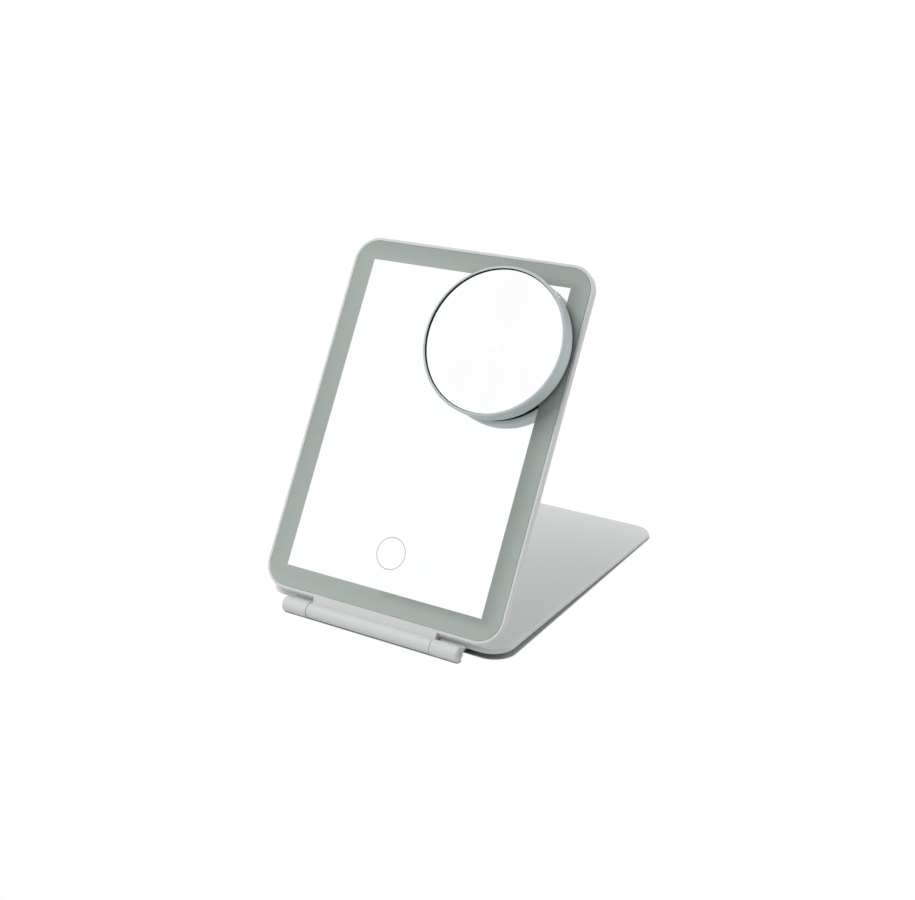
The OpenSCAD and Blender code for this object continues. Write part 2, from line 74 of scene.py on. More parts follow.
@dataclass(frozen=True)
class Layout:
    """Sizes and places of the mirror that the finer pieces and the masks are set out from."""

    hinge: Point = tuple(JOINTS["panel_fold"]["pos_m"])
    out_of_panel: Point = tuple(JOINTS["magnifier_pull"]["axis"])
    out_of_table_pad: Point = tuple(MOUNTS["table_rest"]["axis"])
    panel_w: float = 160 * MM
    panel_h: float = 219 * MM
    rim_w: float = 1.9 * MM
    edge_off: float = 7.9 * MM
    front_off: float = -0.4 * MM
    back_off: float = -6.4 * MM
    silver_side: float = 14.2 * MM
    silver_top: float = 13.7 * MM
    silver_low: float = 14.2 * MM
    touch_r: float = 9.5 * MM
    touch_line: float = 0.5 * MM
    touch_up: float = 36 * MM
    magnifier_x: float = 34.7 * MM
    magnifier_up: float = 165.1 * MM
    magnifier_r: float = 43.9 * MM
    lip_w: float = 1.7 * MM
    glass_edge: float = 41.9 * MM

    def on_panel(self) -> Matrix:
        """Place of the leaning panel: its X, along its height, and out of its front."""
        lean = math.atan2(-self.out_of_panel[1], self.out_of_panel[2])
        return Matrix.Translation(self.hinge) @ Matrix.Rotation(lean, 4, "X")

    def on_cover(self) -> Matrix:
        """Place of the cover: its X, along its length, and out of its top."""
        slope = math.atan2(-self.out_of_table_pad[1], -self.out_of_table_pad[2])
        return Matrix.Translation(self.hinge) @ Matrix.Rotation(-slope, 4, "X")

    def on_magnifier(self) -> Matrix:
        """Place of the magnifier's axis, with zero height in the plane of the panel's rim."""
        foot = (self.magnifier_x, self.edge_off + self.magnifier_up, self.front_off)
        return self.on_panel() @ Matrix.Translation(foot)


# ---------------------------------------------------------------- node trees


class Graph:
    """Writes nodes and their links into one node tree."""

    COLUMNS = 9
    COLUMN_W = 220
    ROW_H = 180

    def __init__(self, tree: bpy.types.NodeTree) -> None:
        """Keeps the tree that the nodes go into."""
        self.tree = tree

    def feed(self, node: bpy.types.Node, inputs: dict) -> None:
        """Fills the inputs of a node.

        Args:
            node: the node.
            inputs: what goes into its inputs, each a socket to link, a colour or a plain value.
        """
        for key, value in inputs.items():
            if isinstance(value, Socket):
                self.tree.links.new(value, node.inputs[key])
            elif node.inputs[key].type == "RGBA":
                node.inputs[key].default_value = (*value, 1.0)
            else:
                node.inputs[key].default_value = value

    def add(self, kind: str, inputs: dict | None = None, **settings: object) -> bpy.types.Node:
        """Adds one node.

        Args:
            kind: the node's type name.
            inputs: what goes into its inputs, each a socket to link, a colour or a plain value.
            settings: the node's own properties.

        Returns:
            The new node.
        """
        node = self.tree.nodes.new(kind)
        for name, value in settings.items():
            setattr(node, name, value)
        self.feed(node, inputs or {})
        row, column = divmod(len(self.tree.nodes), self.COLUMNS)
        node.location = (self.COLUMN_W * column, -self.ROW_H * row)
        return node

    def math(self, operation: str, a: Socket | float, b: Socket | float = 0.0) -> Socket:
        """Adds a Math node and gives its result."""
        return self.add("ShaderNodeMath", {0: a, 1: b}, operation=operation).outputs[0]

    def vector(self, operation: str, a: Socket | Point, b: Socket | Point = (0, 0, 0)) -> Socket:
        """Adds a Vector Math node and gives the vector that comes out."""
        return self.add("ShaderNodeVectorMath", {0: a, 1: b}, operation=operation).outputs[0]

    def length(self, vector: Socket) -> Socket:
        """Gives how long a vector is."""
        return self.add("ShaderNodeVectorMath", {0: vector}, operation="LENGTH").outputs["Value"]

    def scaled(self, vector: Socket | Point, factor: Socket) -> Socket:
        """Gives a vector, or a colour, times a factor."""
        inputs = {0: vector, "Scale": factor}
        return self.add("ShaderNodeVectorMath", inputs, operation="SCALE").outputs[0]

    def ramp(self, value: Socket, low: float, high: float, start: float, end: float) -> Socket:
        """Carries a value smoothly from one range to another.

        Args:
            value: the value to carry over.
            low: where the change starts.
            high: where the change ends.
            start: the result at or below low.
            end: the result at or above high.

        Returns:
            The smooth result.
        """
        inputs = {"Value": value, "From Min": low, "From Max": high, "To Min": start, "To Max": end}
        node = self.add("ShaderNodeMapRange", inputs, interpolation_type="SMOOTHSTEP")
        return node.outputs["Result"]

    def mixed(self, factor: Socket, a: Socket | float, b: Socket | float) -> Socket:
        """Mixes two values; the factor is the share of the second."""
        return self.add("ShaderNodeMix", {0: factor, 2: a, 3: b}, data_type="FLOAT").outputs[0]

    def mix(self, factor: Socket, a: Socket | Colour, b: Socket | Colour) -> Socket:
        """Mixes two colours; the factor is the share of the second."""
        return self.add("ShaderNodeMix", {0: factor, 6: a, 7: b}, data_type="RGBA").outputs[2]

    def noise(self, vector: Socket, per_metre: Socket | float, detail: float = 2.0) -> Socket:
        """Adds a Noise Texture and gives its value."""
        inputs = {"Vector": vector, "Scale": per_metre, "Detail": detail}
        return self.add("ShaderNodeTexNoise", inputs).outputs["Fac"]

    def point(self) -> Socket:
        """Gives the point on the surface, in the frame."""
        return self.add("ShaderNodeTexCoord").outputs["Object"]

    def local(self, place: Matrix) -> Socket:
        """Gives the point on the surface in a leaf's own directions.

        Args:
            place: where the leaf lies in the frame.

        Returns:
            The point as the leaf has it: across, along, and out of it.
        """
        inputs = {"Vector": self.point(), "Location": place.translation, "Rotation": place.to_euler()}
        return self.add("ShaderNodeMapping", inputs, vector_type="TEXTURE").outputs[0]

    def radius(self, point: Socket) -> Socket:
        """Gives how far a point lies from the third axis."""
        return self.length(self.vector("MULTIPLY", point, (1, 1, 0)))

    def parts(self, vector: Socket) -> tuple[Socket, Socket]:
        """Gives the first and the second part of a vector."""
        split = self.add("ShaderNodeSeparateXYZ", {0: vector}).outputs
        return split[0], split[1]


class Pattern(Enum):
    """The surface patterns that more than one finish uses."""

    MOULD_GRAIN = "mould_grain"
    BRUSHED_LINES = "brushed_lines"
    FIBRE_NAP = "fibre_nap"
    HANDLING = "handling"


class PatternLibrary:
    """Builds each surface pattern once, as a node group, and places it in the materials."""

    CELL_SHARE = 0.6
    TONE_SCALE = 26.0
    LINE_SQUEEZE = (0.04, 1, 1)
    LINE_TONES = (0.3, 0.7)
    PATCH_SCALE = 60.0
    PATCH_SHARE = 0.5
    BEND_SCALE = 40.0
    SMEAR_SQUEEZE = (1, 0.35, 1)
    SMEAR_SHIFT = (0.013, 0.031, 0)
    SMEAR_TONES = (0.18, 0.42)

    def __init__(self) -> None:
        """Builds the groups."""
        makers: dict[Pattern, Callable[[Graph, Socket, Socket], tuple[Socket, Socket]]] = {
            Pattern.MOULD_GRAIN: self._mould_grain,
            Pattern.BRUSHED_LINES: self._brushed_lines,
            Pattern.FIBRE_NAP: self._fibre_nap,
            Pattern.HANDLING: self._handling,
        }
        self.trees = {kind: self._build(kind, maker) for kind, maker in makers.items()}

    @staticmethod
    def _build(kind: Pattern, maker: Callable) -> bpy.types.NodeTree:
        """Builds one group with a vector and a scale going in, and a height and a tone coming out.

        Args:
            kind: which pattern it is.
            maker: the method that writes its nodes.

        Returns:
            The group's tree.
        """
        tree = bpy.data.node_groups.new(kind.value, "ShaderNodeTree")
        for name, socket in (("Vector", "NodeSocketVector"), ("Scale", "NodeSocketFloat")):
            tree.interface.new_socket(name, in_out="INPUT", socket_type=socket)
        for name in ("Height", "Tone"):
            tree.interface.new_socket(name, in_out="OUTPUT", socket_type="NodeSocketFloat")
        graph = Graph(tree)
        source = graph.add("NodeGroupInput").outputs
        height, tone = maker(graph, source["Vector"], source["Scale"])
        graph.add("NodeGroupOutput", {"Height": height, "Tone": tone})
        return tree

    def _mould_grain(self, graph: Graph, vector: Socket, scale: Socket) -> tuple[Socket, Socket]:
        """Writes the fine spark-eroded grain of a moulding, with a slow change of tone.

        Args:
            graph: the group's tree.
            vector: the point on the surface.
            scale: how many grains there are to a metre.

        Returns:
            The height and the tone.
        """
        cells = graph.add("ShaderNodeTexVoronoi", {"Vector": vector, "Scale": scale})
        raised = graph.math("MULTIPLY", cells.outputs["Distance"], self.CELL_SHARE)
        height = graph.math("ADD", raised, graph.noise(vector, scale, 3.0))
        return height, graph.noise(vector, self.TONE_SCALE, 3.0)

    def _brushed_lines(self, graph: Graph, vector: Socket, scale: Socket) -> tuple[Socket, Socket]:
        """Writes long fine lines along the first direction, as grinding or rolling leaves them.

        Args:
            graph: the group's tree.
            vector: the point on the surface.
            scale: how many lines there are to a metre.

        Returns:
            The height and the tone.
        """
        squeezed = graph.add("ShaderNodeMapping", {"Vector": vector, "Scale": self.LINE_SQUEEZE})
        lines = graph.noise(squeezed.outputs[0], scale, 4.0)
        return lines, graph.ramp(lines, *self.LINE_TONES, 0.0, 1.0)

    def _fibre_nap(self, graph: Graph, vector: Socket, scale: Socket) -> tuple[Socket, Socket]:
        """Writes short soft fibres that lie in patches.

        Args:
            graph: the group's tree.
            vector: the point on the surface.
            scale: how many fibres there are to a metre.

        Returns:
            The height and the tone.
        """
        patches = graph.noise(vector, self.PATCH_SCALE)
        raised = graph.math("MULTIPLY", patches, self.PATCH_SHARE)
        return graph.math("ADD", graph.noise(vector, scale, 6.0), raised), patches

    def _handling(self, graph: Graph, vector: Socket, scale: Socket) -> tuple[Socket, Socket]:
        """Writes the faint smears left by fingers and by wiping.

        Args:
            graph: the group's tree.
            vector: the point on the surface.
            scale: how many smears there are to a metre.

        Returns:
            The height and the tone.
        """
        bend = graph.noise(vector, self.BEND_SCALE, 1.0)
        inputs = {"Vector": vector, "Scale": self.SMEAR_SQUEEZE, "Location": self.SMEAR_SHIFT}
        smear = graph.noise(graph.add("ShaderNodeMapping", inputs).outputs[0], scale)
        bent = graph.math("MULTIPLY", smear, bend)
        return smear, graph.ramp(bent, *self.SMEAR_TONES, 0.0, 1.0)


# ---------------------------------------------------------------- finishes


@dataclass(frozen=True)
class Canvas:
    """A material in the making: its tree, its shader and the shared patterns."""

    graph: Graph
    shader: bpy.types.Node
    patterns: PatternLibrary

    def set(self, inputs: dict) -> None:
        """Fills inputs of the shader with sockets, colours or plain values."""
        self.graph.feed(self.shader, inputs)

    def pattern(self, kind: Pattern, vector: Socket, scale: float) -> dict[str, Socket]:
        """Places a shared pattern.

        Args:
            kind: the pattern.
            vector: the point on the surface.
            scale: how many of its features there are to a metre.

        Returns:
            What comes out: its Height and its Tone.
        """
        node = self.graph.add("ShaderNodeGroup", node_tree=self.patterns.trees[kind])
        self.graph.feed(node, {"Vector": vector, "Scale": scale})
        return node.outputs

    def relief(self, height: Socket, depth: float) -> None:
        """Raises the surface by a height from 0 to 1, where 1 stands out by the depth."""
        bump = self.graph.add("ShaderNodeBump", {"Height": height, "Distance": depth})
        self.set({"Normal": bump.outputs[0]})


@dataclass(frozen=True)
class Finish:
    """What every finish has: its name, its colour and how rough it is."""

    name: str
    colour: Colour
    roughness: float

    def material(self, patterns: PatternLibrary) -> bpy.types.Material:
        """Makes the finish's material.

        Args:
            patterns: the shared surface patterns.

        Returns:
            The material.
        """
        material = bpy.data.materials.new(self.name)
        material.use_nodes = True
        material.node_tree.nodes.clear()
        graph = Graph(material.node_tree)
        shader = graph.add("ShaderNodeBsdfPrincipled")
        graph.feed(shader, {"Base Color": self.colour, "Roughness": self.roughness})
        graph.add("ShaderNodeOutputMaterial", {"Surface": shader.outputs[0]})
        self.paint(Canvas(graph, shader, patterns))
        return material

    def paint(self, on: Canvas) -> None:
        """Writes what is the finish's own; on is the material in the making."""
        raise NotImplementedError

    def shade(self, on: Canvas, tone: Socket, spread: float, rough: float) -> None:
        """Lets the colour and the roughness drift over the surface.

        Args:
            on: the material in the making.
            tone: the slow pattern, from 0 to 1.
            spread: how much darker and lighter the colour gets, as a share.
            rough: how much the roughness changes.
        """
        dark, light = shaded(self.colour, 1 - spread), shaded(self.colour, 1 + spread)
        on.set({"Base Color": on.graph.mix(tone, dark, light)})
        self.roughen(on, tone, rough)

    def roughen(self, on: Canvas, tone: Socket, rough: float, low: float = 0.2, high: float = 0.8) -> None:
        """Lets the roughness drift over the surface.

        Args:
            on: the material in the making.
            tone: the slow pattern, from 0 to 1.
            rough: how much the roughness changes.
            low: the tone at which it is smoothest.
            high: the tone at which it is roughest.
        """
        smooth, coarse = self.roughness - rough, self.roughness + rough
        on.set({"Roughness": on.graph.ramp(tone, low, high, smooth, coarse)})


@dataclass(frozen=True)
class MouldedPlastic(Finish):
    """Satin moulded plastic with a fine even grain."""

    grain: float = 2600.0
    depth: float = 0.012 * MM
    drift: float = 0.012
    gloss: float = 0.5
    rough_drift: float = 0.04
    smears: float = 70.0
    smear_share: float = 0.3

    def paint(self, on: Canvas) -> None:
        """Writes the grain into its relief, with a slow drift of tone and faint smears.

        Args:
            on: the material in the making.
        """
        point = on.graph.point()
        grain = on.pattern(Pattern.MOULD_GRAIN, point, self.grain)
        smears = on.pattern(Pattern.HANDLING, point, self.smears)
        tone = on.graph.math("MULTIPLY", grain["Tone"], 1 - self.smear_share)
        smeared = on.graph.math("MULTIPLY", smears["Tone"], self.smear_share)
        self.shade(on, on.graph.math("ADD", tone, smeared), self.drift, self.rough_drift)
        on.relief(grain["Height"], self.depth)
        on.set({"Specular IOR Level": self.gloss})


class MetalLook(Enum):
    """How a metal part was finished: its pattern, the depth of its relief, its features to a metre."""

    GROUND = (Pattern.BRUSHED_LINES, 0.002 * MM, 5000.0)
    STAMPED = (Pattern.BRUSHED_LINES, 0.005 * MM, 5000.0)
    PLATED = (Pattern.MOULD_GRAIN, 0.002 * MM, 5000.0)
    FOIL = (Pattern.MOULD_GRAIN, 0.03 * MM, 600.0)


@dataclass(frozen=True)
class Metal(Finish):
    """Bare or plated metal."""

    look: MetalLook = MetalLook.PLATED
    drift: float = 0.06
    rough_drift: float = 0.07

    def paint(self, on: Canvas) -> None:
        """Writes the lines or the clouded plating that the look asks for.

        Args:
            on: the material in the making.
        """
        kind, depth, scale = self.look.value
        surface = on.pattern(kind, on.graph.point(), scale)
        self.shade(on, surface["Tone"], self.drift, self.rough_drift)
        on.relief(surface["Height"], depth)
        on.set({"Metallic": 1.0})


@dataclass(frozen=True)
class Rubber(Finish):
    """Soft matt rubber, silicone or adhesive foam."""

    cells: float = 1800.0
    depth: float = 0.02 * MM
    bloom: float = 160.0
    drift: float = 0.1
    rough_drift: float = 0.06

    def paint(self, on: Canvas) -> None:
        """Writes a dusty bloom over fine cells.

        Args:
            on: the material in the making.
        """
        point = on.graph.point()
        grain = on.pattern(Pattern.MOULD_GRAIN, point, self.cells)
        bloom = on.pattern(Pattern.HANDLING, point, self.bloom)
        self.shade(on, bloom["Tone"], self.drift, self.rough_drift)
        on.relief(grain["Height"], self.depth)


@dataclass(frozen=True)
class BrushedCloth(Finish):
    """Short-napped microfibre glued to a board."""

    fibres: float = 3200.0
    depth: float = 0.09 * MM
    drift: float = 0.12
    rough_drift: float = 0.03
    sheen: float = 0.5
    sheen_rough: float = 0.4

    def paint(self, on: Canvas) -> None:
        """Writes a soft sheen and a nap that lies in patches.

        Args:
            on: the material in the making.
        """
        nap = on.pattern(Pattern.FIBRE_NAP, on.graph.point(), self.fibres)
        self.shade(on, nap["Tone"], self.drift, self.rough_drift)
        on.relief(nap["Height"], self.depth)
        on.set({"Sheen Weight": self.sheen, "Sheen Roughness": self.sheen_rough})


@dataclass(frozen=True)
class FrontGlass(Finish):
    """Mirror glass: silvered in the middle, with a frosted sage border round it."""

    border: Colour = (0.308, 0.357, 0.323)
    ring: Colour = (0.4, 0.42, 0.42)
    # factors of painted shade across each band and up the whole border
    left_band: tuple[float, float] = (0.93, 1.01)
    right_band: tuple[float, float] = (0.74, 1.04)
    low_band: tuple[float, float] = (1.06, 0.94)
    top_band: tuple[float, float] = (0.97, 0.85)
    upward: tuple[float, float, float] = (1.06, 0.93, 0.98)
    corner_blend: float = 6 * MM
    silver_blur: float = 0.04 * MM
    line_blur: tuple[float, float] = (0.7, 1.1)
    frost: float = 900.0
    frost_drift: float = 0.03
    frost_heights: tuple[float, float] = (0.3, 1.2)
    frost_rough: tuple[float, float] = (0.5, 0.62)
    smears: float = 55.0
    coat_rough: float = 0.015
    coat_index: float = 1.6
    layout: Layout = field(default_factory=Layout)

    def _outside(self, graph: Graph, across: Socket, along: Socket) -> Socket:
        """Gives 0 on the silvered rectangle and 1 on the border round it.

        Args:
            graph: the material's tree.
            across: the place across the panel.
            along: the place up the panel.

        Returns:
            The share of the border.
        """
        lay = self.layout
        low = lay.edge_off + lay.silver_low
        high = lay.edge_off + lay.panel_h - lay.silver_top
        side = graph.math("SUBTRACT", graph.math("ABSOLUTE", across), lay.panel_w / 2 - lay.silver_side)
        up = graph.math("ABSOLUTE", graph.math("SUBTRACT", along, (low + high) / 2))
        up = graph.math("SUBTRACT", up, (high - low) / 2)
        return graph.ramp(graph.math("MAXIMUM", side, up), -self.silver_blur, self.silver_blur, 0.0, 1.0)

    def _ring(self, graph: Graph, local: Socket) -> Socket:
        """Gives 1 on the thin line of the touch ring and 0 elsewhere.

        Args:
            graph: the material's tree.
            local: the point as the panel has it.

        Returns:
            The share of the line.
        """
        half = self.layout.touch_line / 2
        middle = (0, self.layout.edge_off + self.layout.touch_up, 0)
        from_middle = graph.radius(graph.vector("SUBTRACT", local, middle))
        away = graph.math("ABSOLUTE", graph.math("SUBTRACT", from_middle, self.layout.touch_r - half))
        return graph.ramp(away, half * self.line_blur[0], half * self.line_blur[1], 1.0, 0.0)

    def _border_painted_shade(self, graph: Graph, across: Socket, along: Socket) -> Socket:
        """Gives the painted shade of the border: each band darker where the rim or the silver's edge shades it.

        Args:
            graph: the material's tree.
            across: the place across the panel.
            along: the place up the panel.

        Returns:
            The brightness, near 1.
        """
        lay = self.layout
        half = lay.panel_w / 2
        low = lay.edge_off + lay.rim_w
        high = lay.edge_off + lay.panel_h - lay.rim_w
        middle = (low + high) / 2
        band = lay.silver_side - lay.rim_w
        corner = self.corner_blend
        # painted shade: each band darker on its upper or left side, by the rim or by the silver's edge
        left = graph.ramp(across, lay.rim_w - half, lay.silver_side - half, *self.left_band)
        right = graph.ramp(across, half - lay.silver_side, half - lay.rim_w, *self.right_band)
        bottom = graph.ramp(along, low, low + band, *self.low_band)
        top = graph.ramp(along, high - band, high, *self.top_band)
        tone = graph.mixed(graph.ramp(across, -corner, corner, 0.0, 1.0), left, right)
        tone = graph.mixed(graph.ramp(along, low + band - corner, low + band, 1.0, 0.0), tone, bottom)
        tone = graph.mixed(graph.ramp(along, high - band, high - band + corner, 0.0, 1.0), tone, top)
        # painted shade: the whole border brightest low down and darkest at mid height
        lower = graph.ramp(along, low, middle, *self.upward[:2])
        upper = graph.ramp(along, middle, high, *self.upward[1:])
        rise = graph.mixed(graph.ramp(along, middle - corner, middle + corner, 0.0, 1.0), lower, upper)
        return graph.math("MULTIPLY", tone, rise)

    def paint(self, on: Canvas) -> None:
        """Writes a mirror, a frosted border with painted shade under clear glass, and the ring's line.

        Args:
            on: the material in the making.
        """
        graph = on.graph
        local = graph.local(self.layout.on_panel())
        across, along = graph.parts(local)
        ring = self._ring(graph, local)
        painted = graph.math("MAXIMUM", self._outside(graph, across, along), ring)
        clear = graph.math("SUBTRACT", 1.0, painted)
        frost = on.pattern(Pattern.MOULD_GRAIN, local, self.frost)
        smears = on.pattern(Pattern.HANDLING, local, self.smears)
        dark, light = shaded(self.border, 1 - self.frost_drift), shaded(self.border, 1 + self.frost_drift)
        even = graph.mix(frost["Tone"], dark, light)
        # the sage border carries the painted shade
        sage = graph.scaled(even, self._border_painted_shade(graph, across, along))
        satin = graph.ramp(frost["Height"], *self.frost_heights, *self.frost_rough)
        smooth = graph.ramp(smears["Tone"], 0.0, 1.0, 0.0, self.roughness)
        rough = graph.math("ADD", graph.math("MULTIPLY", satin, painted),
                           graph.math("MULTIPLY", smooth, clear))
        on.set({
            "Base Color": graph.mix(painted, self.colour, graph.mix(ring, sage, self.ring)),
            "Metallic": clear,
            "Roughness": rough,
            "Coat Weight": painted,
            "Coat Roughness": self.coat_rough,
            "Coat IOR": self.coat_index,
        })


@dataclass(frozen=True)
class SilveredGlass(Finish):
    """Polished silvered glass with a dark sealed edge and the faintest trace of wiping."""

    sealed: Colour = (0.02, 0.022, 0.022)
    seal_w: float = 0.1 * MM
    seal_blur: float = 0.03 * MM
    seal_rough: float = 0.4
    smears: float = 55.0
    smear_dim: float = 0.985
    layout: Layout = field(default_factory=Layout)

    def paint(self, on: Canvas) -> None:
        """Writes the mirror, and the seal that runs round it just inside its edge.

        Args:
            on: the material in the making.
        """
        graph = on.graph
        local = graph.local(self.layout.on_magnifier())
        seal_r = self.layout.glass_edge - self.seal_w
        inner, outer = seal_r - self.seal_blur, seal_r + self.seal_blur
        inside = graph.ramp(graph.radius(local), inner, outer, 1.0, 0.0)
        smears = on.pattern(Pattern.HANDLING, local, self.smears)
        rough = graph.ramp(smears["Tone"], 0.0, 1.0, 0.0, self.roughness)
        tint = graph.mix(smears["Tone"], self.colour, shaded(self.colour, self.smear_dim))
        on.set({
            "Metallic": inside,
            "Roughness": graph.mixed(inside, self.seal_rough, rough),
            "Base Color": graph.mix(inside, self.sealed, tint),
        })


@dataclass(frozen=True)
class CupPlastic(MouldedPlastic):
    """The magnifier's moulded cup, with painted shade, near black, on the wall inside its lip."""

    painted_recess_shade: Colour = (0.012, 0.014, 0.014)
    fade_from: float = 0.02 * MM
    fade_to: float = 0.12 * MM
    layout: Layout = field(default_factory=Layout)

    def paint(self, on: Canvas) -> None:
        """Writes the plastic's own look, and lays painted shade, near black, over the wall inside the lip.

        Args:
            on: the material in the making.
        """
        super().paint(on)
        wall_r = self.layout.magnifier_r - self.layout.lip_w
        from_axis = on.graph.radius(on.graph.local(self.layout.on_magnifier()))
        inside = on.graph.ramp(from_axis, wall_r + self.fade_from, wall_r + self.fade_to, 1.0, 0.0)
        plastic = on.shader.inputs["Base Color"].links[0].from_socket
        # painted shade on the wall inside the lip, where the recess lies in shadow
        on.set({"Base Color": on.graph.mix(inside, plastic, self.painted_recess_shade)})


class BoardKind(Enum):
    """The two kinds of circuit board, by how close their copper lines lie."""

    CONTROL = 260.0
    LIGHT_STRIP = 140.0


@dataclass(frozen=True)
class BoardLacquer(Finish):
    """Solder lacquer over copper lines."""

    kind: BoardKind = BoardKind.CONTROL
    layout: Layout = field(default_factory=Layout)
    gap: float = 0.09
    gap_blur: float = 0.2
    line_length: float = 1.3
    line_height: float = 0.35
    row_shift: float = 0.37
    gap_shade: float = 0.72
    grain: float = 3000.0
    rough_drift: float = 0.05
    depth: float = 0.03 * MM

    def paint(self, on: Canvas) -> None:
        """Writes the copper lines, which show through as raised, lighter bands.

        Args:
            on: the material in the making.
        """
        local = on.graph.local(self.layout.on_panel())
        inputs = {"Vector": local, "Scale": self.kind.value, "Mortar Size": self.gap,
                  "Mortar Smooth": self.gap_blur, "Brick Width": self.line_length,
                  "Row Height": self.line_height}
        gaps = on.graph.add("ShaderNodeTexBrick", inputs, offset=self.row_shift).outputs["Fac"]
        tone = on.pattern(Pattern.MOULD_GRAIN, local, self.grain)["Tone"]
        on.set({"Base Color": on.graph.mix(gaps, self.colour, shaded(self.colour, self.gap_shade))})
        self.roughen(on, tone, self.rough_drift)
        on.relief(on.graph.math("SUBTRACT", 1.0, gaps), self.depth)


@dataclass(frozen=True)
class PouchFoil(Finish):
    """Laminated foil of a flat cell, with amber tape across its sealed end."""

    tape: Colour = (0.5, 0.25, 0.03)
    tape_end: float = 84.4 * MM
    tape_blur: float = 0.1 * MM
    creases: float = 120.0
    crease_painted_shade: float = 0.9
    crease_tones: tuple[float, float] = (0.3, 0.7)
    rough_drift: float = 0.08
    depth: float = 0.25 * MM
    metallic: float = 0.6
    layout: Layout = field(default_factory=Layout)

    def paint(self, on: Canvas) -> None:
        """Writes soft creases in the foil, with painted shade where they run low, and the tape.

        Args:
            on: the material in the making.
        """
        local = on.graph.local(self.layout.on_panel())
        along = on.graph.parts(local)[1]
        creases = on.graph.noise(local, self.creases, 4.0)
        low, high = self.tape_end - self.tape_blur, self.tape_end + self.tape_blur
        taped = on.graph.ramp(along, low, high, 1.0, 0.0)
        # painted shade: the foil darker where the creases run low
        foil = on.graph.mix(creases, shaded(self.colour, self.crease_painted_shade), self.colour)
        on.set({"Base Color": on.graph.mix(taped, foil, self.tape), "Metallic": self.metallic})
        self.roughen(on, creases, self.rough_drift, *self.crease_tones)
        on.relief(creases, self.depth)


@dataclass(frozen=True)
class WirePair(Finish):
    """Insulation of a pair of wires, the second one in its own colour."""

    second: Colour = (0.03, 0.03, 0.032)
    split_x: float = -37.8 * MM
    split_blur: float = 0.02 * MM
    bend_up: float = 59.4 * MM
    lean: float = -0.117
    grain: float = 2200.0
    grain_shade: float = 0.85
    depth: float = 0.01 * MM
    layout: Layout = field(default_factory=Layout)

    def paint(self, on: Canvas) -> None:
        """Writes two colours that part along the line between the two wires.

        Args:
            on: the material in the making.
        """
        graph = on.graph
        local = graph.local(self.layout.on_panel())
        across, along = graph.parts(local)
        past_bend = graph.math("MAXIMUM", graph.math("SUBTRACT", along, self.bend_up), 0.0)
        middle = graph.math("ADD", graph.math("MULTIPLY", past_bend, self.lean), self.split_x)
        beyond = graph.math("SUBTRACT", across, middle)
        second = graph.ramp(beyond, -self.split_blur, self.split_blur, 0.0, 1.0)
        grain = on.pattern(Pattern.MOULD_GRAIN, local, self.grain)
        first = graph.mix(grain["Tone"], self.colour, shaded(self.colour, self.grain_shade))
        on.set({"Base Color": graph.mix(second, first, self.second)})
        on.relief(grain["Height"], self.depth)


@dataclass(frozen=True)
class ClearPlastic(Finish):
    """Clear moulded light pipe, faintly clouded."""

    clearness: float = 0.7
    index: float = 1.49
    clouds: float = 1500.0
    drift: float = 0.05

    def paint(self, on: Canvas) -> None:
        """Writes a clear plastic with faint clouds.

        Args:
            on: the material in the making.
        """
        cloud = on.pattern(Pattern.MOULD_GRAIN, on.graph.point(), self.clouds)
        self.shade(on, cloud["Tone"], self.drift, self.drift)
        on.set({"Transmission Weight": self.clearness, "IOR": self.index})


# ---------------------------------------------------------------- meshes


class Mould:
    """Makes the small master shapes that are repeated."""

    MERGE = 1e-8
    CREASE_DEG = 35.0

    @staticmethod
    def circle(radius: float, steps: int) -> list[tuple[float, float]]:
        """Gives the points of a circle, or its one middle point where the radius is nought."""
        angles = (2 * math.pi * i / steps for i in range(steps if radius > 0 else 1))
        return [(radius * math.cos(a), radius * math.sin(a)) for a in angles]

    @staticmethod
    def lathe(profile: Sequence[tuple[float, float]], steps: int) -> list[list[Point]]:
        """Turns a profile round the Z axis.

        Args:
            profile: radius and height of its points, from one end to the other.
            steps: how many points go round.

        Returns:
            One ring of points for each point of the profile.
        """
        return [[(x, y, height) for x, y in Mould.circle(radius, steps)] for radius, height in profile]

    @staticmethod
    def skin(rings: Sequence[Sequence[Point]], name: str) -> bpy.types.Mesh:
        """Joins rings of points, the first and the last being one point, into a closed shape.

        Args:
            rings: the rings, each of as many points or of one.
            name: the mesh's name.

        Returns:
            A closed mesh with outward faces.
        """
        shape = bmesh.new()
        made = [[shape.verts.new(point) for point in ring] for ring in rings]
        steps = max(len(ring) for ring in made)
        for low, high in zip(made, made[1:]):
            for i in range(steps):
                j = (i + 1) % steps
                corners = [low[i % len(low)], low[j % len(low)], high[j % len(high)], high[i % len(high)]]
                shape.faces.new(list(dict.fromkeys(corners)))
        return Mould.finish(shape, name)

    @staticmethod
    def finish(shape: bmesh.types.BMesh, name: str) -> bpy.types.Mesh:
        """Closes a shape and turns its faces outwards.

        Args:
            shape: the shape, which is freed.
            name: the mesh's name.

        Returns:
            The mesh, with its sharp edges kept sharp.
        """
        bmesh.ops.remove_doubles(shape, verts=shape.verts, dist=Mould.MERGE)
        bmesh.ops.recalc_face_normals(shape, faces=shape.faces)
        mesh = bpy.data.meshes.new(name)
        shape.to_mesh(mesh)
        shape.free()
        mesh.polygons.foreach_set("use_smooth", [True] * len(mesh.polygons))
        mesh.set_sharp_from_angle(angle=math.radians(Mould.CREASE_DEG))
        return mesh


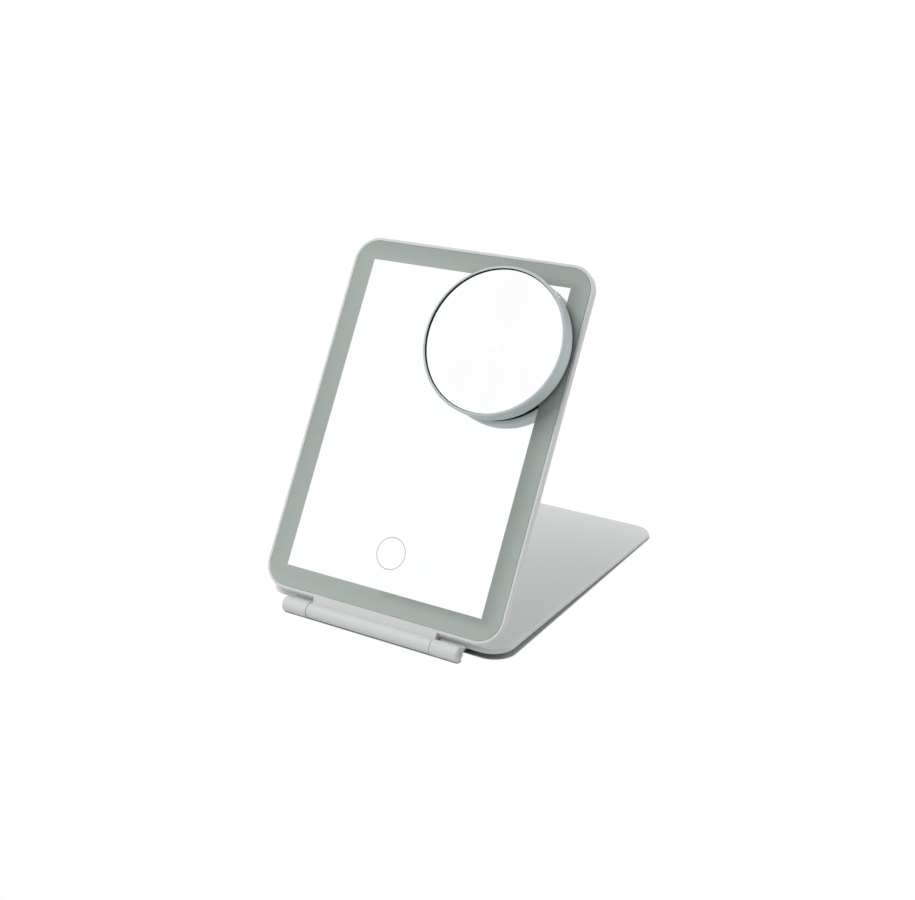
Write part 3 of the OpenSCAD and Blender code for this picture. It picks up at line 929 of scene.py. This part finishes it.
class GridRecipe:
    """A Geometry Nodes tree that sets a master shape on the points of a grid."""

    SEED = 7
    INPUTS = (
        ("Columns", "NodeSocketInt", 2),
        ("Rows", "NodeSocketInt", 2),
        ("Column span", "NodeSocketFloat", 0.1),
        ("Row span", "NodeSocketFloat", 0.1),
        ("Turn", "NodeSocketFloat", 0.0),
        ("Turn spread", "NodeSocketFloat", 0.0),
        ("Finish", "NodeSocketMaterial", None),
    )

    def __init__(self) -> None:
        """Builds the tree."""
        self.tree = bpy.data.node_groups.new("set_on_grid", "GeometryNodeTree")
        face = self.tree.interface
        face.new_socket("Geometry", in_out="INPUT", socket_type="NodeSocketGeometry")
        for name, kind, value in self.INPUTS:
            socket = face.new_socket(name, in_out="INPUT", socket_type=kind)
            if value is not None:
                socket.default_value = value
        face.new_socket("Geometry", in_out="OUTPUT", socket_type="NodeSocketGeometry")
        graph = Graph(self.tree)
        into = graph.add("NodeGroupInput").outputs
        spans = {"Size X": into["Column span"], "Size Y": into["Row span"],
                 "Vertices X": into["Columns"], "Vertices Y": into["Rows"]}
        grid = graph.add("GeometryNodeMeshGrid", spans)
        random = graph.add("FunctionNodeRandomValue", {3: into["Turn spread"], "Seed": self.SEED},
                           data_type="FLOAT")
        turn = graph.math("ADD", into["Turn"], random.outputs[1])
        angle = graph.add("ShaderNodeCombineXYZ", {"Z": turn}).outputs[0]
        points = {"Points": grid.outputs[0], "Instance": into["Geometry"], "Rotation": angle}
        placed = graph.add("GeometryNodeInstanceOnPoints", points)
        real = graph.add("GeometryNodeRealizeInstances", {0: placed.outputs[0]})
        dressed = graph.add("GeometryNodeSetMaterial",
                            {"Geometry": real.outputs[0], "Material": into["Finish"]})
        graph.add("NodeGroupOutput", {0: dressed.outputs[0]})


def grown(name: str, tree: bpy.types.NodeTree, master: bpy.types.Mesh, values: dict) -> bpy.types.Object:
    """Runs a Geometry Nodes tree on a master shape and keeps the result as a plain mesh.

    Args:
        name: the new object's name.
        tree: the Geometry Nodes tree.
        master: the shape that the tree repeats.
        values: what goes into the tree's named inputs.

    Returns:
        The object, with no modifier left on it.
    """
    piece = bpy.data.objects.new(name, master)
    bpy.context.scene.collection.objects.link(piece)
    modifier = piece.modifiers.new("recipe", "NODES")
    modifier.node_group = tree
    for item in tree.interface.items_tree:
        if item.item_type == "SOCKET" and item.in_out == "INPUT" and item.name in values:
            modifier[item.identifier] = values[item.name]
    bpy.context.view_layer.update()
    depsgraph = bpy.context.evaluated_depsgraph_get()
    plain = bpy.data.meshes.new_from_object(piece.evaluated_get(depsgraph))
    piece.modifiers.clear()
    piece.data = plain
    return piece


# ---------------------------------------------------------------- sub-assemblies


@dataclass
class SubAssembly:
    """One moving body of the mirror: its finishes and its finer pieces."""

    layout: Layout
    patterns: PatternLibrary
    grid: GridRecipe
    body: str = ""

    FACE_DOWN = Matrix.Rotation(math.pi, 4, "X")

    def finishes(self) -> dict[str, Finish]:
        """Gives the finish of each solid."""
        raise NotImplementedError

    def pieces(self) -> None:
        """Builds the finer pieces, where the body has any."""

    def dress(self) -> None:
        """Gives every solid of the body its material, then builds the finer pieces."""
        made: dict[str, bpy.types.Material] = {}
        for node, finish in self.finishes().items():
            if finish.name not in made:
                made[finish.name] = finish.material(self.patterns)
            solid = frame["nodes"][node]
            solid.data.materials.clear()
            solid.data.materials.append(made[finish.name])
            log.info("%s: %s wears %s", self.body, node, finish.name)
        self.pieces()

    def seat(self, piece: bpy.types.Object, place: Matrix, node: str) -> None:
        """Puts a finer piece in its place and lets it stand for its solid.

        Args:
            piece: the piece, made round the origin.
            place: where it goes, worked into its mesh.
            node: the solid that it stands for.
        """
        piece.data.transform(place)
        piece.data.update()
        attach(piece, self.body)
        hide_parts(node)
        log.info("%s: %s has %d faces", self.body, piece.name, len(piece.data.polygons))


SHELL = MouldedPlastic("shell_plastic", (0.65, 0.665, 0.652), 0.55, gloss=0.3)


@dataclass
class MirrorPanel(SubAssembly):
    """The thin lit panel: its shell, its glass and what lies behind it."""

    body: str = "panel"
    screw_in: float = 4.1 * MM
    screw_span: float = 159 * MM
    screw_turn: float = 0.3
    screw_turn_spread: float = 1.4
    screw_head_r: float = 1.4 * MM
    head_sunk: float = 0.05 * MM
    head_bevel: float = 0.04 * MM
    neck_r: float = 0.75 * MM
    neck_down: float = 0.7 * MM
    screw_r: float = 0.68 * MM
    screw_len: float = 3.5 * MM
    thread_down: float = 0.85 * MM
    thread_pitch: float = 0.3 * MM
    thread_depth: float = 0.13 * MM
    plain_len: float = 1.2 * MM
    tip: tuple[tuple[float, float], ...] = ((0.45 * MM, 0.15 * MM), (0.25 * MM, 0.02 * MM), (0.0, 0.0))
    recess_half: float = 0.8 * MM
    recess_width: float = 0.3 * MM
    recess_depth: float = 0.34 * MM
    recess_end: float = 0.12 * MM
    recess_wall: float = 0.05 * MM
    recess_flare: float = 1.15
    recess_taper: float = 0.35
    around: int = 64
    across: int = 22

    def finishes(self) -> dict[str, Finish]:
        """Gives the finish of each solid of the panel.

        Returns:
            The finishes, by the name of the solid.
        """
        steel = Metal("zinc_plated_steel", (0.56, 0.57, 0.58), 0.32)
        board = BoardLacquer("green_board", (0.02, 0.11, 0.05), 0.35, layout=self.layout)
        strip = BoardLacquer("white_board", (0.72, 0.73, 0.72), 0.4, BoardKind.LIGHT_STRIP, self.layout)
        return {
            "panel_frame": SHELL,
            "rear_cover": SHELL,
            "mirror_glass": FrontGlass("bordered_mirror", (0.985, 0.99, 0.99), 0.012, layout=self.layout),
            "silver_layer": MouldedPlastic("backing_paint", (0.22, 0.23, 0.235), 0.6, 1500.0, 0.02 * MM),
            "frosted_sheet": MouldedPlastic("frosted_film", (0.33, 0.38, 0.335), 0.7, 1400.0, 0.02 * MM),
            "glass_tape": Rubber("foam_tape", (0.6, 0.61, 0.6), 0.8),
            "touch_ring": MouldedPlastic("ring_print", (0.35, 0.37, 0.37), 0.5, 1800.0, 0.005 * MM),
            "touch_pad": Metal("copper_foil", (0.72, 0.4, 0.24), 0.28, MetalLook.FOIL),
            "led_board": strip,
            "leds": MouldedPlastic("phosphor", (0.8, 0.62, 0.16), 0.5, 2500.0, 0.02 * MM),
            "control_board": board,
            "board_parts": MouldedPlastic("chip_epoxy", (0.02, 0.02, 0.022), 0.5, 4000.0, 0.01 * MM),
            "usb_shell": Metal("stamped_steel", (0.6, 0.61, 0.62), 0.25, MetalLook.STAMPED),
            "usb_tongue": MouldedPlastic("socket_tongue", (0.015, 0.015, 0.017), 0.45, 4000.0, 0.005 * MM),
            "charge_light": ClearPlastic("light_pipe", (0.85, 0.88, 0.88), 0.15),
            "battery": PouchFoil("pouch_foil", (0.5, 0.52, 0.54), 0.35, layout=self.layout),
            "battery_leads": WirePair("lead_pair", (0.45, 0.02, 0.015), 0.4, layout=self.layout),
            "signal_leads": Rubber("grey_insulation", (0.05, 0.052, 0.058), 0.45),
            "support_foam": Rubber("closed_foam", (0.045, 0.046, 0.05), 0.9, 1100.0, 0.12 * MM),
            "steel_disc": Metal("rolled_steel", (0.5, 0.51, 0.52), 0.35, MetalLook.STAMPED),
            "rear_screws": steel,
            "board_screws": steel,
            "friction_clips": Metal("spring_steel", (0.36, 0.37, 0.39), 0.3, MetalLook.GROUND),
        }

    def _arm(self, along: float, across: float) -> float:
        """Gives how deep one arm of the cross recess is, as a share of its full depth.

        Args:
            along: the place along the arm, from the screw's axis.
            across: the place across the arm.

        Returns:
            The share, from 0 to 1.
        """
        out = self.recess_taper * abs(along) / self.recess_half
        narrow = self.recess_width / 2 * (self.recess_flare - out)
        inside = min(1.0, max(0.0, (self.recess_half - abs(along)) / self.recess_end))
        wall = min(1.0, max(0.0, (narrow - abs(across)) / self.recess_wall + 0.5))
        return inside * wall * (1.0 - out)

    def _head_height(self, x: float, y: float) -> float:
        """Gives how high the screw's head is at a point, with the cross cut into it."""
        return -self.head_sunk - self.recess_depth * max(self._arm(x, y), self._arm(y, x))

    def _screw(self) -> bpy.types.Mesh:
        """Makes one countersunk cross-head screw.

        Returns:
            Its mesh, with the head up and the shank down.
        """
        flat_r = self.screw_head_r - self.head_bevel
        rings = []
        for i in range(self.across + 1):
            circle = Mould.circle(flat_r * i / self.across, self.around)
            rings.append([(x, y, self._head_height(x, y)) for x, y in circle])
        profile = [(self.screw_head_r, -self.head_sunk - self.head_bevel), (self.neck_r, -self.neck_down)]
        for i in range(int((self.screw_len - self.plain_len) / self.thread_pitch)):
            start = -self.thread_down - i * self.thread_pitch
            profile += [(self.screw_r - self.thread_depth, start),
                        (self.screw_r, start - self.thread_pitch / 2)]
        profile += [(radius, up - self.screw_len) for radius, up in self.tip]
        return Mould.skin(rings + Mould.lathe(profile, self.around), "screw")

    def pieces(self) -> None:
        """Sets six cross-head screws in the rear cover."""
        values = {"Columns": 2, "Rows": 3, "Column span": self.layout.panel_w - 2 * self.screw_in,
                  "Row span": self.screw_span, "Turn": self.screw_turn,
                  "Turn spread": self.screw_turn_spread,
                  "Finish": bpy.data.materials["zinc_plated_steel"]}
        screws = grown("cross_head_screws", self.grid.tree, self._screw(), values)
        middle = (0.0, self.layout.edge_off + self.layout.panel_h / 2, self.layout.back_off)
        place = self.layout.on_panel() @ Matrix.Translation(middle) @ self.FACE_DOWN
        self.seat(screws, place, "rear_screws")


@dataclass
class StandCover(SubAssembly):
    """The cover that folds out behind the panel and carries it."""

    body: str = "stand"
    pad_r: float = 4 * MM
    pad_x: float = 60 * MM
    pad_near: float = 18.2 * MM
    pad_far: float = 217.3 * MM
    pad_face: float = -0.4 * MM
    pad_t: float = 0.58 * MM
    tread_starts: tuple[float, ...] = (0.3, 0.66)
    tread_widths: tuple[float, float, float] = (0.04, 0.14, 0.18)
    tread_depth: float = 0.18 * MM
    edge_round: float = 0.12 * MM
    round_share: float = 0.3
    around: int = 48

    def finishes(self) -> dict[str, Finish]:
        """Gives the finish of each solid of the stand.

        Returns:
            The finishes, by the name of the solid.
        """
        return {
            "stand_cover": SHELL,
            "stand_lining": BrushedCloth("microfibre", (0.24, 0.265, 0.25), 0.92),
            "stand_pads": Rubber("foot_rubber", (0.05, 0.052, 0.052), 0.75),
            "hinge_pins": Metal("ground_pins", (0.58, 0.59, 0.6), 0.18, MetalLook.GROUND),
            "pin_caps": MouldedPlastic("cap_plastic", (0.5, 0.515, 0.505), 0.45, 2600.0, 0.01 * MM),
        }

    def pieces(self) -> None:
        """Sets four rubber feet, each with two rings of tread, face down in the cover."""
        r, t = self.pad_r, self.pad_t
        low = t - self.tread_depth
        lip, mid = self.edge_round, self.edge_round * self.round_share
        profile = [(0.0, t)]
        for start in self.tread_starts:
            down, up, end = (r * (start + width) for width in self.tread_widths)
            profile += [(r * start, t), (down, low), (up, low), (end, t)]
        profile += [(r - lip, t), (r - mid, t - mid), (r, t - lip), (r, 0.0), (0.0, 0.0)]
        master = Mould.skin(Mould.lathe(profile, self.around), "foot")
        values = {"Columns": 2, "Rows": 2, "Column span": 2 * self.pad_x,
                  "Row span": self.pad_far - self.pad_near,
                  "Finish": bpy.data.materials["foot_rubber"]}
        feet = grown("treaded_feet", self.grid.tree, master, values)
        middle = (0.0, (self.pad_near + self.pad_far) / 2, self.pad_face + t)
        place = self.layout.on_cover() @ Matrix.Translation(middle) @ self.FACE_DOWN
        self.seat(feet, place, "stand_pads")


@dataclass
class Magnifier(SubAssembly):
    """The round magnifying mirror that magnets hold on the glass."""

    body: str = "magnifier"
    magnet_r: float = 5 * MM
    magnet_t: float = 2 * MM
    magnet_bevel: float = 0.2 * MM
    bevel_share: float = 0.3
    magnet_ring: float = 14 * MM
    magnet_low: float = 1.92 * MM
    around: int = 48

    def finishes(self) -> dict[str, Finish]:
        """Gives the finish of each solid of the magnifier.

        Returns:
            The finishes, by the name of the solid.
        """
        return {
            # painted shade: the cup's colour is the shell's plastic made darker and bluer
            "magnifier_cup": CupPlastic("shaded_cup_plastic", (0.53, 0.58, 0.59), 0.55, 2600.0, 0.008 * MM,
                                        gloss=0.15, layout=self.layout),
            "magnifier_glass": SilveredGlass("concave_mirror", (0.985, 0.99, 0.99), 0.012,
                                             layout=self.layout),
            "magnifier_tape": Rubber("black_tape", (0.02, 0.02, 0.022), 0.7),
            "magnifier_magnets": Metal("nickel_plate", (0.66, 0.64, 0.6), 0.16),
            "magnifier_pad": Rubber("silicone", (0.06, 0.062, 0.062), 0.6, 1500.0, 0.01 * MM),
        }

    def pieces(self) -> None:
        """Sets four nickel-plated magnets, with turned edges, in the cup's floor."""
        r, t = self.magnet_r, self.magnet_t
        bevel, mid = self.magnet_bevel, self.magnet_bevel * self.bevel_share
        profile = [(0.0, t), (r - bevel, t), (r - mid, t - mid), (r, t - bevel),
                   (r, bevel), (r - mid, mid), (r - bevel, 0.0), (0.0, 0.0)]
        master = Mould.skin(Mould.lathe(profile, self.around), "magnet")
        span = self.magnet_ring * math.sqrt(2)
        values = {"Columns": 2, "Rows": 2, "Column span": span, "Row span": span,
                  "Finish": bpy.data.materials["nickel_plate"]}
        magnets = grown("plated_magnets", self.grid.tree, master, values)
        low = Matrix.Translation((0.0, 0.0, self.magnet_low))
        self.seat(magnets, self.layout.on_magnifier() @ low, "magnifier_magnets")


# ---------------------------------------------------------------- camera, light and floor


@dataclass(frozen=True)
class PhotoCamera:
    """The camera as it stood for the photograph."""

    place: Point = (0.39058, -0.697607, 0.369147)
    right: Point = (0.863723, 0.503508, 0.021512)
    ahead: Point = (-0.466899, 0.815533, -0.341923)
    lens_mm: float = 54.411
    sensor_mm: float = 36.0

    def stand(self) -> None:
        """Makes the camera and gives it to the scene."""
        ahead = Vector(self.ahead).normalized()
        right = Vector(self.right)
        right = (right - right.dot(ahead) * ahead).normalized()
        up = right.cross(ahead)
        turn = Matrix((right, up, -ahead)).transposed().to_4x4()
        data = bpy.data.cameras.new("photo_camera")
        data.lens, data.sensor_width = self.lens_mm, self.sensor_mm
        camera = bpy.data.objects.new("photo_camera", data)
        camera.matrix_world = Matrix.Translation(self.place) @ turn
        bpy.context.scene.collection.objects.link(camera)
        bpy.context.scene.camera = camera
        log.info("camera stands at %s", tuple(round(v, 3) for v in self.place))


@dataclass(frozen=True)
class SoftLamp:
    """One square soft lamp, aimed at a point."""

    name: str
    place: Point
    aim: Point
    side: float
    level: float
    tint: Colour = WHITE

    def hang(self) -> None:
        """Makes the lamp; its level is what it adds to a facing white surface at its aim."""
        way = Vector(self.aim) - Vector(self.place)
        data = bpy.data.lights.new(self.name, "AREA")
        data.size = self.side
        data.color = self.tint
        data.energy = self.level * math.pi**2 * way.length_squared
        lamp = bpy.data.objects.new(self.name, data)
        turn = way.to_track_quat("-Z", "Y").to_matrix().to_4x4()
        lamp.matrix_world = Matrix.Translation(self.place) @ turn
        bpy.context.scene.collection.objects.link(lamp)


@dataclass(frozen=True)
class Studio:
    """Pale floor, white surroundings and soft lamps."""

    MID_PANEL = (0.0, -0.03, 0.1)

    ambient: float = 0.36
    floor_r: float = 3.0
    floor_steps: int = 96
    floor_albedo: float = 0.8
    floor_tint: Colour = (0.955, 1.0, 1.0)
    # painted shade: the floor's level as seen inside the footprint, below its matt colour, deepening the shadow
    # under the object
    painted_floor_shade: float = 0.48
    fade_from: float = -0.3 * MM
    fade_to: float = 1 * MM
    # the footprint is where the floor keeps its painted shade; beyond it, it runs out into white
    footprint: tuple[tuple[tuple[float, float], float, float, float], ...] = (
        ((4.5 * MM, 7.83 * MM), 76 * MM, 107.66 * MM, 14 * MM),
        ((0.0, -110.991 * MM), 59 * MM, 2 * MM, 1 * MM),
    )
    lamps: tuple[SoftLamp, ...] = (
        SoftLamp("key_left", (-1.138, -0.658, 1.75), MID_PANEL, 0.72, 0.25),
        SoftLamp("key_front", (-0.525, -1.08, 1.84), MID_PANEL, 0.72, 0.25),
        SoftLamp("left_low", (-1.26, -0.52, 0.45), MID_PANEL, 0.6, 0.2),
        SoftLamp("front_low", (-0.1, -1.1, 0.17), (0.0, -0.05, 0.08), 0.5, 0.06),
        SoftLamp("back_right", (0.85, 0.3, 0.65), (0.0, 0.03, 0.05), 0.5, 0.22),
        SoftLamp("back_low", (0.15, 1.2, 0.6), (0.0, 0.03, 0.03), 0.6, 0.34, (0.93, 1.0, 1.0)),
    )

    @staticmethod
    def _seen(graph: Graph) -> Socket:
        """Gives 1 for what the camera sees straight, in a gloss or through glass, and else 0.

        A ray that has already left a matt surface lights the object, so it counts as 0.

        Args:
            graph: the world's or the floor's tree.

        Returns:
            The share, 0 or 1.
        """
        path = graph.add("ShaderNodeLightPath").outputs
        seen = graph.math("MAXIMUM", path["Is Camera Ray"], path["Is Glossy Ray"])
        seen = graph.math("MAXIMUM", seen, path["Is Transmission Ray"])
        direct = graph.math("LESS_THAN", path["Diffuse Depth"], 0.5)
        return graph.math("MULTIPLY", seen, direct)

    def _world(self) -> None:
        """Makes surroundings that look white and light the object more gently."""
        world = bpy.data.worlds.new("white_surroundings")
        world.use_nodes = True
        world.node_tree.nodes.clear()
        graph = Graph(world.node_tree)
        level = graph.ramp(self._seen(graph), 0.0, 1.0, self.ambient, 1.0)
        back = graph.add("ShaderNodeBackground", {"Color": WHITE, "Strength": level})
        graph.add("ShaderNodeOutputWorld", {"Surface": back.outputs[0]})
        bpy.context.scene.world = world

    @staticmethod
    def _away(graph: Graph, middle: tuple[float, float], half_x: float, half_y: float,
              corner: float) -> Socket:
        """Gives the distance on the floor from a rectangle with round corners.

        Args:
            graph: the floor's tree.
            middle: where its middle lies.
            half_x: half its width.
            half_y: half its length.
            corner: the radius of its corners.

        Returns:
            The distance, below 0 inside.
        """
        shifted = graph.vector("SUBTRACT", graph.point(), (*middle, 0.0))
        core = (half_x - corner, half_y - corner, 0.0)
        beyond = graph.vector("SUBTRACT", graph.vector("ABSOLUTE", shifted), core)
        outside = graph.length(graph.vector("MAXIMUM", beyond))
        return graph.math("SUBTRACT", outside, corner)

    def _floor_material(self) -> bpy.types.Material:
        """Makes a pale floor that keeps the shadow near the object, with painted shade under it, and runs into
        white.

        Returns:
            The floor's material.
        """
        material = bpy.data.materials.new("pale_floor")
        material.use_nodes = True
        material.node_tree.nodes.clear()
        graph = Graph(material.node_tree)
        seen = self._seen(graph)
        # seen straight, the floor takes the painted shade level; the light it bounces keeps its matt colour
        level = graph.ramp(seen, 0.0, 1.0, self.floor_albedo, self.painted_floor_shade)
        matt = graph.add("ShaderNodeBsdfDiffuse", {"Color": graph.scaled(self.floor_tint, level)})
        white = graph.add("ShaderNodeEmission", {"Color": WHITE, "Strength": 1.0})
        away = graph.math("MINIMUM", *(self._away(graph, *box) for box in self.footprint))
        far = graph.ramp(away, self.fade_from, self.fade_to, 0.0, 1.0)
        share = graph.math("MULTIPLY", far, seen)
        surface = graph.add("ShaderNodeMixShader", {0: share, 1: matt.outputs[0], 2: white.outputs[0]})
        graph.add("ShaderNodeOutputMaterial", {"Surface": surface.outputs[0]})
        return material

    def build(self) -> None:
        """Makes the floor, the surroundings and the lamps."""
        shape = bmesh.new()
        bmesh.ops.create_circle(shape, cap_ends=True, segments=self.floor_steps, radius=self.floor_r)
        mesh = bpy.data.meshes.new("studio_floor")
        shape.to_mesh(mesh)
        shape.free()
        mesh.materials.append(self._floor_material())
        floor = bpy.data.objects.new("studio_floor", mesh)
        bpy.context.scene.collection.objects.link(floor)
        self._world()
        for lamp in self.lamps:
            lamp.hang()
        bpy.context.scene.view_settings.view_transform = "Standard"
        log.info("studio has %d lamps", len(self.lamps))


def main() -> None:
    """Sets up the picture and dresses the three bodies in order."""
    logging.basicConfig(level=logging.INFO, format="%(name)s: %(message)s")
    layout = Layout()
    PhotoCamera().stand()
    Studio().build()
    patterns = PatternLibrary()
    grid = GridRecipe()
    for assembly in (
        StandCover(layout, patterns, grid),
        MirrorPanel(layout, patterns, grid),
        Magnifier(layout, patterns, grid),
    ):
        assembly.dress()


if __name__ == "__main__":
    main()
